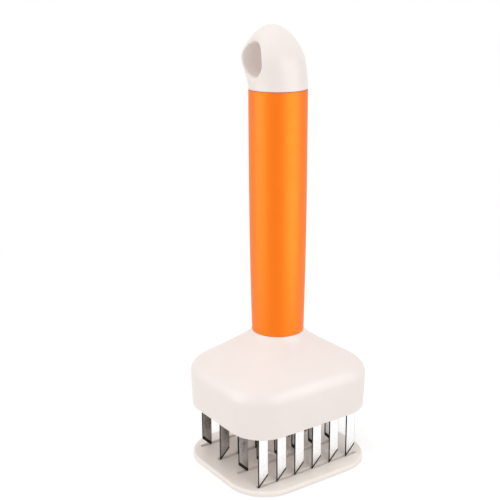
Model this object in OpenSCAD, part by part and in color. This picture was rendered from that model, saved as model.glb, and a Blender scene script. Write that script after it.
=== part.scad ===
// Blade meat tenderizer: a press tool with rows of flat steel blades, a sprung
// guard plate that they push through, a square head and an upright round handle.
// The guard plate's underside is the plane z = 0 and the handle stands along +Z.

/* [Guard plate] */
// How far the guard plate stands out past the head's rim, along the blade rows
plate_out_x = 0.5; // [0:0.25:4]
// How far the guard plate stands out past the head's rim, across the blade rows
plate_out_y = 1.75; // [0:0.25:4]
// Corner radius of the guard plate's outline
plate_corner_r = 19; // [12:1:20]
// Thickness of the guard plate
plate_t = 2.4; // [2:0.2:3.6]
// Radius of the guard plate's rounded top edge
plate_edge_r = 1; // [0.6:0.1:1.4]
// Width of the slot that a row of blades passes through
slot_w = 2; // [1.6:0.1:2.6]
// Free length of a slot past the last blade
slot_end = 0.9; // [0.4:0.1:1.6]
// Radius of the raised seat under the plunger tube
seat_boss_r = 6.2; // [5.6:0.1:6.6]
// Height of the raised seat under the plunger tube
seat_boss_h = 1.2; // [0.8:0.2:2]

/* [Blades] */
// Number of blade rows, front to back
blade_rows = 4; // [4:2:6]
// Number of blades in a row
blade_cols = 6; // [4:2:6]
// Distance between two blades of a row
pitch_x = 10; // [9.6:0.1:10.6]
// Distance between two rows
pitch_y = 15.5; // [15.2:0.1:16.2]
// Width of one blade
blade_w = 5; // [4.4:0.1:5.6]
// Thickness of one blade
blade_t = 0.8; // [0.5:0.1:1]
// Height of the blade tips above the table
tip_lift = 1; // [0.4:0.1:2]
// Angle of the slanted tip from the level
tip_angle = 45; // [35:1:50]
// Angle by which the cutting edge is ground back
bevel_angle = 35; // [20:1:45]
// How far the blade's head stands out past each side
head_step = 0.8; // [0.5:0.1:0.9]
// Height of the blade's head
head_h = 2.4; // [1.6:0.1:3]

/* [Head cover] */
// From the last blade of a row to the head's side at the shoulder
head_side_x = 8.35; // [7.5:0.05:14]
// From the outer row of blades to the head's side at the shoulder
head_side_y = 7.3; // [6:0.05:14]
// Corner radius of the head cover at the shoulder
head_corner_r = 16.75; // [12:0.25:17]
// How far the upright side draws in from the shoulder down to the rim
skirt_draft = 0.6; // [0:0.05:1.2]
// Free height between guard plate and head cover
open_h = 24.6; // [22.8:0.2:30]
// Height of the head cover's upright side
skirt_h = 16; // [15.4:0.2:24]
// Radius of the rounded shoulder
shoulder_r = 6.5; // [5:0.5:10]
// Height from the upright side to the neck
dome_h = 21.2; // [19:0.2:26]
// Slope of the cover's top where it meets the shoulder
dome_slope = 29; // [26:1:36]
// How strongly the cover's top is crowned, or hollow below 1
dome_crown = 0.85; // [0.75:0.05:1.5]
// Height of the small hollow where the cover turns up to the neck
neck_hollow_h = 0.8; // [0.4:0.1:1.6]
// Wall thickness of the head cover
cover_wall = 2; // [1.6:0.1:2.6]
// Diameter of the neck where the handle stands on it
neck_d = 24.2; // [23.8:0.1:26]
// Length of the spigot that enters the handle
spigot_len = 16; // [12:1:24]
// Thickness of the floor inside the spigot
spigot_floor_t = 3; // [2:0.5:4]
// Wall thickness of the spigot
spigot_wall = 3; // [2.8:0.1:3.4]
// Diameter of the four screw bosses
boss_d = 7; // [6:0.5:8]

/* [Blade holder] */
// Depth of the holder's underside inside the cover's rim
holder_inset = 1; // [0.6:0.2:2]
// Thickness of the blade holder
holder_t = 11.4; // [9:0.2:12]
// Wall thickness of the holder's guide hub
hub_wall = 1; // [0.8:0.1:1.3]
// Thickness of the clamp plate over the blade heads
clamp_t = 2.5; // [2:0.5:4]
// Margin of the clamp plate inside the cover's wall
clamp_margin = 1; // [0.6:0.1:2]
// Depth of the screw heads above the holder's underside
screw_inset = 0.4; // [0.2:0.1:1]
// Diameter of the holder screws
screw_d = 3; // [2.5:0.1:3.5]
// Length of the holder screws below the head
screw_len = 18; // [14:1:22]
// Diameter of the holder screws' heads
screw_head_d = 5.6; // [5:0.2:6.2]
// Height of the holder screws' heads
screw_head_h = 1.8; // [1.4:0.2:2.4]

/* [Plunger and spring] */
// Travel of the guard plate
travel = 22; // [16:1:22.2]
// Outer diameter of the plunger tube
tube_d = 10; // [9.4:0.1:10.2]
// Wall thickness of the plunger tube
tube_wall = 1.3; // [1:0.1:1.5]
// Thickness of the plunger tube's solid foot
tube_foot = 6.4; // [5:0.2:9]
// Height of the stop collar
collar_h = 3; // [2:0.5:5]
// Wall thickness of the guide bush
bush_wall = 0.7; // [0.5:0.05:0.8]
// Length of the guide bush
bush_len = 9.4; // [7:0.2:11]
// Thickness of the guide bush's flange
bush_flange_t = 1.5; // [1:0.1:2]
// Wire diameter of the return spring
wire_d = 0.7; // [0.6:0.1:0.9]
// Number of turns of the return spring
spring_turns = 13; // [8:1:15]
// Gap between the wires of the spring's end turns
end_turn_gap = 0.5; // [0.4:0.1:0.8]
// Room for the return spring inside the plunger tube
spring_room = 0.3; // [0.2:0.05:0.5]
// Thickness of the spring seat's flange
spring_seat_t = 2; // [1.5:0.5:3]
// Length of the spring seat's pilot inside the spring
pilot_len = 6; // [4:1:10]
// Diameter of the plunger screw's shank
plunger_screw_d = 4; // [3:0.5:4.5]
// Diameter of the plunger screw's head
plunger_head_d = 8; // [7:0.5:9]
// Height of the plunger screw's head
plunger_head_h = 1.5; // [1.2:0.1:1.6]
// Depth of the plunger screw's head below the plate's underside
plunger_head_inset = 0.4; // [0.2:0.1:0.6]

/* [Handle] */
// Length of the coloured handle sleeve
handle_len = 108.8; // [90:0.2:130]
// Diameter of the handle sleeve at the neck
handle_bottom_d = 23.6; // [23.4:0.1:24.2]
// Diameter of the handle sleeve under the cap
handle_top_d = 25.5; // [24.5:0.1:27]
// Bore of the handle sleeve
handle_bore_d = 20.8; // [20.4:0.1:21.2]
// How quickly the sleeve swells above the neck
handle_swell = 3; // [1.5:0.1:4]
// Diameter of the tie rod
rod_d = 5; // [4:0.5:6]
// Width over corners of the tie rod's hexagon head
rod_head_d = 9; // [7:0.5:10]
// Height of the tie rod's head
rod_head_h = 3.5; // [3:0.5:5]
// Diameter of the tie rod's washer
washer_d = 11.6; // [9:0.2:11.8]
// Thickness of the tie rod's washer
washer_t = 1.2; // [0.8:0.2:2]

/* [Hanging cap] */
// Height of the cap above the handle sleeve
cap_h = 27; // [25:0.5:32]
// Diameter of the cap at its widest
cap_d = 27; // [25.5:0.1:30]
// How far the cap's top leans to the side of the eye's mouth
cap_lean = 3; // [0:0.5:4]
// Height over which the lean grows
lean_h = 17; // [13:1:20]
// Length of the cap's plug inside the handle sleeve
plug_len = 16; // [12:1:24]
// Diameter of the hanging eye
eye_d = 14; // [10:0.2:15]
// Height of the hanging eye's centre above the handle sleeve
eye_h = 13; // [12:0.5:15]
// Radius of the eye's rounded lips
eye_lip_r = 1.2; // [0.8:0.1:1.6]
// How long the cap keeps its width before the top rounds over
cap_fullness = 1.4; // [1.2:0.1:2.4]
// How flat the cap's top is
cap_roundness = 0.54; // [0.5:0.02:0.7]
// Diameter of the threaded insert
insert_d = 9; // [8:0.5:10]
// Length of the threaded insert
insert_len = 8; // [6:1:10]
// Depth of the threaded insert's end inside the plug
insert_inset = 0.2; // [0.1:0.1:0.6]
// Length of the tie rod past the insert
rod_past = 2; // [1:0.5:3]

/* [Fits] */
// Gap between pieces that are fixed together
fit_gap = 0.05; // [0.03:0.01:0.08]
// Gap around the blade holder inside the moulded cover
cover_gap = 0.2; // [0.15:0.05:0.3]
// Radial gap of a sliding fit
slide_gap = 0.1; // [0.06:0.01:0.1]
// Gap between the stop collar and its seat at rest
stop_gap = 0.1; // [0.05:0.05:0.3]
// Free height above the plunger tube at the end of its travel
end_gap = 2; // [1:0.5:4]

/* [Hidden] */
$fn = 96;
cream = [0.95, 0.93, 0.90];
orange = [0.98, 0.53, 0.17];
steel = [0.80, 0.80, 0.80];
brass = [0.80, 0.66, 0.35];
dark_steel = [0.42, 0.42, 0.44];
through = 1;
ring_points = 72;
corner_direction = 45;
arc_steps = 6;
slope_steps = 5;
dome_steps = 8;
sleeve_steps = 12;
last_cap_turn = 89;

// Heights of the stack, from the table upwards
plate_top_z = plate_t;
boss_top_z = plate_top_z + seat_boss_h;
rim_z = plate_top_z + open_h;
shoulder_z = rim_z + skirt_h;
neck_z = shoulder_z + dome_h;
cap_z = neck_z + handle_len;
holder_z = rim_z + holder_inset;
holder_top_z = holder_z + holder_t;
clamp_z = holder_top_z + fit_gap;
clamp_top_z = clamp_z + clamp_t;
bush_top_z = holder_z + bush_len;
collar_z = bush_top_z + stop_gap;
tube_top_z = collar_z + collar_h;
tube_floor_z = boss_top_z + tube_foot;
spring_seat_z = tube_top_z + travel + end_gap;
rod_head_z = spring_seat_z + spring_seat_t;
washer_z = rod_head_z + rod_head_h;
floor_z = washer_z + washer_t;
plug_z = cap_z - plug_len;
rod_top_z = plug_z + insert_len + rod_past;
eye_z = cap_z + eye_h;

// Radii that fit into one another
neck_r = neck_d / 2;
spigot_r = handle_bore_d / 2 - fit_gap;
spigot_bore_r = spigot_r - spigot_wall;
hub_r = spigot_bore_r - fit_gap;
hub_bore_r = hub_r - hub_wall;
tube_r = tube_d / 2;
tube_bore_r = tube_r - tube_wall;
collar_r = hub_bore_r - slide_gap;
bush_bore_r = tube_r + slide_gap;
bush_r = bush_bore_r + bush_wall;
bush_flange_r = hub_bore_r - fit_gap;
spring_r = tube_bore_r - spring_room - wire_d / 2;
pilot_r = spring_r - wire_d / 2 - spring_room;
rod_r = rod_d / 2;
head_floor_z = plunger_head_inset;
head_pocket_z = head_floor_z + plunger_head_h;

// Outlines that follow from the field of blades
head_x = (blade_cols - 1) * pitch_x + blade_w + 2 * head_side_x;
head_y = (blade_rows - 1) * pitch_y + blade_t + 2 * head_side_y;
rim_x = head_x - 2 * skirt_draft;
rim_y = head_y - 2 * skirt_draft;
rim_corner_r = head_corner_r - skirt_draft;
plate_x = rim_x + 2 * plate_out_x;
plate_y = rim_y + 2 * plate_out_y;

// Blade places
blade_head_w = blade_w + 2 * head_step;
blade_head_z = holder_top_z - head_h;
slot_half = (blade_cols - 1) * pitch_x / 2 + blade_w / 2 + slot_end;
screw_x = (blade_cols / 2 - 1) * pitch_x;
screw_y = (blade_rows / 2 - 1) * pitch_y;
screw_head_z = holder_z + screw_inset;
screw_seat_z = screw_head_z + screw_head_h;

function column_x(c) = (c - (blade_cols + 1) / 2) * pitch_x;
function row_y(r) = (r - (blade_rows + 1) / 2) * pitch_y;
function blade_name(r, c) = str("blade_r", r, "_c", c);

// ---- shapes that several pieces share ----

// Filled outline of a rectangle with round corners, centred on the axis
module rounded_outline(x, y, r) {
    square([x, y - 2 * r], center = true);
    square([x - 2 * r, y], center = true);
    for (sx = [-1, 1]) for (sy = [-1, 1])
        translate([sx * (x / 2 - r), sy * (y / 2 - r)]) circle(r);
}

// Half section of a slab, from its middle to its rounded top edge
function edge_section(half, t, edge) = concat(
    [[0, 0], [half, 0]],
    [for (i = [0 : arc_steps]) let (a = 90 * i / arc_steps)
        [half - edge + edge * cos(a), t - edge + edge * sin(a)]],
    [[0, t]]
);

// Straight run of a slab: its full section, drawn along Y
module slab_run(width, length, t, edge) {
    side = edge_section(width / 2, t, edge);
    other = [for (i = [len(side) - 2 : -1 : 1]) [-side[i][0], side[i][1]]];
    rotate([90, 0, 0]) linear_extrude(length, center = true)
        polygon(concat([for (i = [1 : len(side) - 2]) side[i]], other));
}

// Slab with round corners and a rounded top edge, standing on z = 0
module rounded_slab(x, y, r, t, edge) {
    slab_run(x, y - 2 * r, t, edge);
    rotate([0, 0, 90]) slab_run(y, x - 2 * r, t, edge);
    for (k = [0 : 3]) let (sx = k == 0 || k == 3 ? 1 : -1, sy = k < 2 ? 1 : -1)
        translate([sx * (x / 2 - r), sy * (y / 2 - r), 0]) rotate([0, 0, 90 * k])
            rotate_extrude(angle = 90) polygon(edge_section(r, t, edge));
}

// Straight tube standing on z = 0
module tube(outer_r, bore_r, h) {
    difference() {
        cylinder(r = outer_r, h = h);
        translate([0, 0, -through]) cylinder(r = bore_r, h = h + 2 * through);
    }
}

// Distance from the centre to a rounded rectangle's outline, in direction a
function outline_reach(hx, hy, r, a) =
    let (dx = abs(cos(a)), dy = abs(sin(a)), cx = hx - r, cy = hy - r)
    dx * cy >= 0 && hx * dy <= cy * dx ? hx / dx
    : hy * dx <= cx * dy ? hy / dy
    : let (along = dx * cx + dy * cy) along + sqrt(along * along - cx * cx - cy * cy + r * r);

// One ring of a loft: half length, half width, corner radius, height, sideways shift
function ring(hx, hy, r, z, shift = 0) =
    [for (i = [0 : ring_points - 1])
        let (a = 360 * (i + 0.5) / ring_points, reach = outline_reach(hx, hy, r, a))
        [reach * cos(a) + shift, reach * sin(a), z]];

// Closed solid through a list of rings, from the lowest to the highest
module loft(rings) {
    n = ring_points;
    last = len(rings) - 1;
    bottom = (last + 1) * n;
    top = bottom + 1;
    polyhedron(
        points = concat([for (one = rings) each one], [middle(rings[0]), middle(rings[last])]),
        faces = concat(
            [for (i = [0 : n - 1]) [bottom, i, (i + 1) % n]],
            [for (k = [0 : last - 1]) for (i = [0 : n - 1])
                let (a = k * n + i, b = k * n + (i + 1) % n)
                each [[a, a + n, b], [b, a + n, b + n]]],
            [for (i = [0 : n - 1]) [top, last * n + (i + 1) % n, last * n + i]]
        )
    );
}

// Point halfway between two opposite points of a ring
function middle(one) = (one[0] + one[ring_points / 2]) / 2;

// Places its children at the four holder screws
module at_screws() {
    for (sx = [-1, 1]) for (sy = [-1, 1]) translate([sx * screw_x, sy * screw_y, 0]) children();
}

function smooth(t) = let (u = max(0, min(1, t))) u * u * (3 - 2 * u);

// ---- sprung guard: plate, plunger tube and the screw between them ----

module guard_plate() {
    color(cream) difference() {
        union() {
            rounded_slab(plate_x, plate_y, plate_corner_r, plate_t, plate_edge_r);
            cylinder(r = seat_boss_r, h = boss_top_z);
        }
        for (r = [1 : blade_rows])
            translate([0, row_y(r), 0]) blade_slot();
        translate([0, 0, -through])
            cylinder(d = plunger_head_d + 2 * slide_gap, h = head_pocket_z + through);
        cylinder(d = plunger_screw_d + 2 * slide_gap, h = boss_top_z + through);
    }
}

// Long slot with round ends, cut through the guard plate
module blade_slot() {
    straight = 2 * slot_half - slot_w;
    translate([-straight / 2, -slot_w / 2, -through])
        cube([straight, slot_w, plate_t + 2 * through]);
    for (s = [-1, 1])
        translate([s * straight / 2, 0, -through])
            cylinder(d = slot_w, h = plate_t + 2 * through, $fn = 32);
}

module plunger_tube() {
    color(cream) translate([0, 0, boss_top_z + fit_gap]) difference() {
        union() {
            cylinder(r = tube_r, h = tube_top_z - boss_top_z - fit_gap);
            translate([0, 0, collar_z - boss_top_z - fit_gap]) cylinder(r = collar_r, h = collar_h);
        }
        translate([0, 0, tube_foot - fit_gap]) cylinder(r = tube_bore_r, h = tube_top_z);
        translate([0, 0, -through])
            cylinder(d = plunger_screw_d + 2 * fit_gap, h = tube_foot + 2 * through);
    }
}

module plunger_screw() {
    color(steel) difference() {
        union() {
            translate([0, 0, head_floor_z]) cylinder(d = plunger_head_d, h = plunger_head_h - fit_gap);
            translate([0, 0, head_floor_z])
                cylinder(d = plunger_screw_d, h = tube_floor_z - head_floor_z - fit_gap);
        }
        cross_recess(head_floor_z, plunger_head_h / 2, plunger_head_d / 2);
    }
}

// Cross-shaped driver recess in the underside of a screw head
module cross_recess(z, depth, width) {
    bar = width / 4;
    translate([-width / 2, -bar / 2, z - through]) cube([width, bar, depth + through]);
    translate([-bar / 2, -width / 2, z - through]) cube([bar, width, depth + through]);
}

// ---- guide and return spring ----

module guide_bush() {
    color(brass) difference() {
        union() {
            translate([0, 0, holder_z]) cylinder(r = bush_r, h = bush_len);
            translate([0, 0, bush_top_z - bush_flange_t])
                cylinder(r = bush_flange_r, h = bush_flange_t);
        }
        translate([0, 0, holder_z - through]) cylinder(r = bush_bore_r, h = bush_len + 2 * through);
    }
}

// Helix with close end turns, swept as one unbroken wire
module return_spring() {
    sides = 6;
    steps = 12;
    wire_r = wire_d / 2;
    low_z = tube_floor_z + fit_gap + wire_r;
    high_z = spring_seat_z - fit_gap - wire_r;
    rings = spring_turns * steps;
    end_rise = wire_d + end_turn_gap;
    open_pitch = (high_z - low_z - 2 * end_rise) / (spring_turns - 2);
    wire_z = function(turn)
        turn < 1 ? low_z + turn * end_rise
        : turn > spring_turns - 1 ? high_z - (spring_turns - turn) * end_rise
        : low_z + end_rise + (turn - 1) * open_pitch;
    color(dark_steel) polyhedron(
        points = [for (k = [0 : rings]) for (j = [0 : sides - 1])
            let (a = 360 * k / steps, b = 360 * j / sides, reach = spring_r + wire_r * cos(b))
            [reach * cos(a), reach * sin(a), wire_z(k / steps) + wire_r * sin(b)]],
        faces = concat(
            [[for (j = [0 : sides - 1]) j]],
            [for (k = [0 : rings - 1]) for (j = [0 : sides - 1])
                let (p = k * sides + j, q = k * sides + (j + 1) % sides)
                each [[p, p + sides, q], [q, p + sides, q + sides]]],
            [[for (j = [sides - 1 : -1 : 0]) rings * sides + j]]
        )
    );
}

module spring_seat() {
    color(cream) {
        translate([0, 0, spring_seat_z]) cylinder(r = bush_flange_r, h = spring_seat_t - fit_gap);
        translate([0, 0, spring_seat_z - pilot_len])
            cylinder(r = pilot_r, h = pilot_len + spring_seat_t / 2);
    }
}

// ---- blades and what holds them ----

// One blade: a flat strip with a slanted, ground tip below and a wider head on top.
// side is -1 where the point is at the left of the strip, 1 where it is at the right.
module blade(side) {
    big = 4 * blade_w;
    mirror([side > 0 ? 1 : 0, 0, 0]) difference() {
        union() {
            translate([-blade_w / 2, -blade_t / 2, tip_lift])
                cube([blade_w, blade_t, holder_top_z - tip_lift]);
            translate([-blade_head_w / 2, -blade_t / 2, blade_head_z])
                cube([blade_head_w, blade_t, head_h]);
        }
        translate([-blade_w / 2, blade_t / 2, tip_lift]) rotate([0, -tip_angle, 0])
            rotate([-bevel_angle, 0, 0]) translate([-big, -big, -big]) cube([3 * big, 2 * big, big]);
    }
}

module blade_at(r, c) {
    color(steel) translate([column_x(c), row_y(r), 0]) blade(r % 2 == 1 ? -1 : 1);
}

module blade_holder() {
    inset = cover_wall + cover_gap;
    color(cream) difference() {
        union() {
            translate([0, 0, holder_z]) linear_extrude(holder_t)
                rounded_outline(rim_x - 2 * inset, rim_y - 2 * inset, rim_corner_r - inset);
            translate([0, 0, holder_z]) cylinder(r = hub_r, h = floor_z - fit_gap - holder_z);
        }
        translate([0, 0, holder_z - through]) cylinder(r = bush_r + fit_gap, h = bush_len + through);
        translate([0, 0, bush_top_z - bush_flange_t - fit_gap]) cylinder(r = hub_bore_r, h = floor_z);
        for (r = [1 : blade_rows]) for (c = [1 : blade_cols])
            translate([column_x(c), row_y(r), 0]) blade_pocket();
        at_screws() {
            translate([0, 0, holder_z - through])
                cylinder(d = screw_head_d + 2 * cover_gap, h = screw_seat_z - holder_z + through);
            translate([0, 0, holder_z]) cylinder(d = screw_d + 2 * cover_gap, h = holder_t + through);
        }
    }
}

// Slot for a blade's strip with a wider pocket for its head
module blade_pocket() {
    slot_x = blade_w + 2 * fit_gap;
    slot_y = blade_t + 2 * fit_gap;
    pocket_x = blade_head_w + 2 * fit_gap;
    translate([-slot_x / 2, -slot_y / 2, holder_z - through])
        cube([slot_x, slot_y, holder_t + 2 * through]);
    translate([-pocket_x / 2, -slot_y / 2, blade_head_z - fit_gap])
        cube([pocket_x, slot_y, head_h + through]);
}

module blade_clamp() {
    inset = cover_wall + clamp_margin;
    color(steel) translate([0, 0, clamp_z]) difference() {
        linear_extrude(clamp_t)
            rounded_outline(rim_x - 2 * inset, rim_y - 2 * inset, rim_corner_r - inset);
        translate([0, 0, -through]) cylinder(r = hub_r + cover_gap, h = clamp_t + 2 * through);
        at_screws() translate([0, 0, -through])
            cylinder(d = screw_d + 2 * cover_gap, h = clamp_t + 2 * through);
    }
}

module holder_screws() {
    color(steel) at_screws() difference() {
        union() {
            translate([0, 0, screw_head_z]) cylinder(d = screw_head_d, h = screw_head_h - fit_gap);
            translate([0, 0, screw_head_z]) cylinder(d = screw_d, h = screw_head_h + screw_len);
        }
        cross_recess(screw_head_z, screw_head_h / 2, screw_head_d / 2);
    }
}

// ---- head cover ----

// Ring of the cover at blend w, from the round neck (0) to the full outline (1),
// drawn in by wall on every side
function cover_ring(w, z, wall) = ring(
    neck_r + w * (head_x / 2 - neck_r) - wall,
    neck_r + w * (head_y / 2 - neck_r) - wall,
    neck_r + w * (head_corner_r - neck_r) - wall, z);

// Run of the cover's top from the neck to the corner, and how the shoulder arc splits it
dome_run = outline_reach(head_x / 2, head_y / 2, head_corner_r, corner_direction) - neck_r;
shoulder_turn = 90 - dome_slope;
slope_w = 1 - shoulder_r * (1 - cos(shoulder_turn)) / dome_run;
slope_z = shoulder_z + shoulder_r * sin(shoulder_turn);
slope_rise = neck_z - neck_hollow_h - slope_z;
// Share of that run over which the top turns up to the neck
hollow_w = 0.12;

function slope_height(w) = slope_z + slope_rise * (1 - pow(w / slope_w, dome_crown))
    + neck_hollow_h * pow(max(0, 1 - w / hollow_w), 2);

// Blend and height of each ring of the cover's top, from the shoulder to the neck
dome_profile = concat(
    [for (i = [0 : arc_steps - 1]) let (a = shoulder_turn * i / arc_steps)
        [1 - shoulder_r * (1 - cos(a)) / dome_run, shoulder_z + shoulder_r * sin(a)]],
    [for (i = [0 : slope_steps]) let (w = slope_w + (hollow_w - slope_w) * i / slope_steps)
        [w, slope_height(w)]],
    [for (w = [hollow_w / 2, 0]) [w, slope_height(w)]]
);

module cover_outside() {
    loft(concat(
        [cover_ring(1, rim_z, skirt_draft)],
        [for (p = dome_profile) cover_ring(p[0], p[1], 0)]
    ));
}

// The cover's hollow follows the outside, a wall's thickness in, measured square to the slope
module cover_inside() {
    drop = cover_wall * (1 - sin(dome_slope)) / cos(dome_slope);
    loft(concat(
        [cover_ring(1, rim_z - through, cover_wall + skirt_draft)],
        [for (p = dome_profile) cover_ring(p[0], p[1] - drop, cover_wall)]
    ));
}

module head_cover() {
    spigot_root_z = neck_z - cover_wall;
    color(cream) difference() {
        union() {
            cover_outside();
            translate([0, 0, spigot_root_z]) cylinder(r = spigot_r, h = spigot_len + cover_wall);
        }
        difference() {
            cover_inside();
            at_screws() translate([0, 0, clamp_top_z + fit_gap]) cylinder(d = boss_d, h = dome_h);
        }
        at_screws() translate([0, 0, clamp_top_z - through])
            cylinder(d = screw_d + 2 * fit_gap, h = screw_seat_z + screw_len + 2 * through - clamp_top_z);
        translate([0, 0, shoulder_z]) cylinder(r = spigot_bore_r, h = floor_z - shoulder_z);
        translate([0, 0, shoulder_z]) cylinder(r = rod_r + cover_gap, h = dome_h + spigot_len);
        translate([0, 0, floor_z + spigot_floor_t]) cylinder(r = spigot_bore_r, h = spigot_len);
    }
}

// ---- handle: tie rod, sleeve and hanging cap ----

module tie_rod() {
    color(steel) {
        translate([0, 0, rod_head_z]) cylinder(d = rod_head_d, h = rod_head_h - fit_gap, $fn = 6);
        translate([0, 0, rod_head_z]) cylinder(r = rod_r, h = rod_top_z - rod_head_z);
    }
}

module rod_washer() {
    color(steel) translate([0, 0, washer_z]) tube(washer_d / 2, rod_r + fit_gap, washer_t - fit_gap);
}

function sleeve_r(t) =
    handle_top_d / 2 - (handle_top_d - handle_bottom_d) / 2 * pow(1 - t, handle_swell);

module handle_sleeve() {
    low_z = neck_z + fit_gap;
    high_z = cap_z - fit_gap;
    bore_r = handle_bore_d / 2;
    color(orange) rotate_extrude() polygon(concat(
        [[bore_r, high_z], [bore_r, low_z]],
        [for (i = [0 : sleeve_steps]) let (t = i / sleeve_steps)
            [sleeve_r(t), low_z + t * (high_z - low_z)]]
    ));
}

module cap_insert() {
    color(brass) translate([0, 0, plug_z + insert_inset])
        tube(insert_d / 2, rod_r + fit_gap, insert_len - insert_inset - fit_gap);
}

// Radius and lean of the cap at height h above the sleeve
function cap_r(h) =
    let (t = max(0, (h - eye_h) / (cap_h - eye_h)))
    t > 0 ? cap_d / 2 * pow(1 - pow(t, cap_fullness), cap_roundness)
    : handle_top_d / 2 + (cap_d - handle_top_d) / 2 * smooth(h / eye_h);
function cap_shift(h) = -cap_lean * smooth(h / lean_h);

// Place along X of the cap's side at height h, y away from its middle
function cap_side(side, h, y) = cap_shift(h) + side * sqrt(max(0, pow(cap_r(h), 2) - y * y));

module hanging_cap() {
    low = [for (i = [0 : arc_steps - 1]) eye_h * i / arc_steps];
    high = [for (i = [0 : dome_steps])
        eye_h + (cap_h - eye_h) * sin(last_cap_turn * i / dome_steps)];
    color(cream) difference() {
        union() {
            loft([for (h = concat(low, high)) let (r = cap_r(h)) ring(r, r, r, cap_z + h, cap_shift(h))]);
            translate([0, 0, plug_z]) cylinder(r = spigot_r, h = plug_len + through);
        }
        translate([0, 0, eye_z]) hanging_eye();
        translate([0, 0, plug_z - through])
            cylinder(d = insert_d + 2 * fit_gap, h = insert_len + through);
        translate([0, 0, plug_z]) cylinder(r = rod_r + cover_gap, h = rod_top_z - plug_z + through);
    }
}

// Round eye along X with a rounded lip at each mouth
module hanging_eye() {
    rotate([0, 90, 0]) cylinder(d = eye_d, h = 3 * cap_d, center = true);
    for (side = [-1, 1]) loft(concat(
        [for (b = [0 : lip_step : 90])
            lip_ring(side, lip_r - eye_lip_r * cos(b), eye_lip_r * (1 - sin(b)) - fit_gap)],
        [lip_ring(side, lip_r, -eye_lip_r - through)]
    ));
}

// Distance from the eye's axis to the middle of the lip's rounding
lip_r = eye_d / 2 + eye_lip_r - fit_gap;
lip_step = 30;

// One ring of a lip, out from the eye's axis and depth below the cap's side
function lip_ring(side, out, depth) =
    [for (i = [0 : ring_points - 1]) let (a = side * 360 * (i + 0.5) / ring_points)
        [cap_side(side, eye_h + lip_r * sin(a), lip_r * cos(a)) - side * depth,
            out * cos(a), out * sin(a)]];

for (r = [1 : blade_rows]) for (c = [1 : blade_cols])
    blade_at(r, c);
guard_plate();
plunger_tube();
plunger_screw();
guide_bush();
return_spring();
spring_seat();
blade_holder();
blade_clamp();
holder_screws();
head_cover();
tie_rod();
rod_washer();
handle_sleeve();
cap_insert();
hanging_cap();
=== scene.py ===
"""Looks and fine shapes of a blade meat tenderizer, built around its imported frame.

Named sizes are in millimetres, in the frame's own axes: the guard plate lies on z = 0,
the handle stands along +Z and the rows of blades run along X. What Blender itself takes
in metres stays in metres: the floor, the lamps, and the reach and depths in materials.
"""
import math

import bmesh
import bpy
import numpy as np
from mathutils import Matrix, Vector
from mathutils.geometry import tessellate_polygon


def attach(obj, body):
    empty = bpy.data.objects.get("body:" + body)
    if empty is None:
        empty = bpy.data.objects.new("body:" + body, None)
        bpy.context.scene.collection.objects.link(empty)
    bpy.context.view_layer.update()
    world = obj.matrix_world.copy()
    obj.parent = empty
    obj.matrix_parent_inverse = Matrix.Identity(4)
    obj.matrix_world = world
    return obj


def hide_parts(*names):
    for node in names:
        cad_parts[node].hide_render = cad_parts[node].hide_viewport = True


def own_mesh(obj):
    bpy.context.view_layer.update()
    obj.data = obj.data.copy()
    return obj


# A millimetre, and how close together points are taken for one, both in metres
MM = 0.001
SAME_PLACE = 1e-7

# Turn between two faces, in degrees, from which their edge is drawn sharp
SHARP = 35.0
SHARP_ON_CURVES = 50.0

# Stack of heights
PLATE_TOP = 2.4
SEAT_TOP = 3.6
RIM_Z = 27.0
SHOULDER_Z = 43.0
NECK_Z = 64.2
SPRING_LOW = 10.05
SPRING_HIGH = 64.45
WASHER_Z = 71.2
CAP_Z = 173.0
FIT_GAP = 0.05

# Head cover: half sizes, the skirt, and the dome's slope, crown (a power) and end hollow
HEAD_HALF = (35.85, 30.95)
HEAD_CORNER = 16.75
SKIRT_DRAFT = 0.6
SHOULDER_R = 6.5
DOME_SLOPE = 29.0
DOME_CROWN = 0.85
HOLLOW_H = 0.8
HOLLOW_SHARE = 0.12
COVER_WALL = 2.0
RIM_EDGE_R = 0.7
RIM_INNER_EDGE_R = 0.35

# Head cover: the neck, whose rounded edge ends at an angle and stands for the dome within a
# small blend of the axis, the spigot above it and the screw bosses inside
NECK_R = 12.1
NECK_EDGE_R = 0.25
NECK_EDGE_END = 20.0
NECK_BLEND = 0.02
SPIGOT_R = 10.35
SPIGOT_EDGE = 0.5
SPIGOT_BORE_R = 7.35
SPIGOT_BORE_EDGE = 0.3
SPIGOT_FLOOR = 3.0
SPIGOT_TOP = 80.2
ROD_HOLE_R = 2.7
BOSS_R = 3.5
BOSS_Z = 42.0
BOSS_EDGE = 0.3
SCREW_PLACE = (20.0, 15.5)
SCREW_HOLE_R = 1.55
SCREW_HOLE_TOP = 49.2

# Points around the cover's rings, and how many rings its shoulder, slope and so on have
COVER_AROUND = 360
SHOULDER_RINGS = 14
SLOPE_RINGS = 26
HOLLOW_RINGS = 8
SKIRT_RINGS = 10
BOSS_AROUND = 48
BOSS_AXIS_R = 0.01

# Steps along the rounded edges, the widest edge first
PLATE_EDGE_STEPS = 8
RIM_EDGE_STEPS = 6
EDGE_STEPS = 4
SEAT_EDGE_STEPS = 3

# Handle sleeve: radius at its foot and head, and the power that it swells by
SLEEVE_R = (11.8, 12.75)
SLEEVE_SWELL = 3.0
SLEEVE_BORE_R = 10.4
SLEEVE_EDGE = 0.25
SLEEVE_EDGE_END = 10.0
SLEEVE_RINGS = 90
SLEEVE_AROUND = 256

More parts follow.
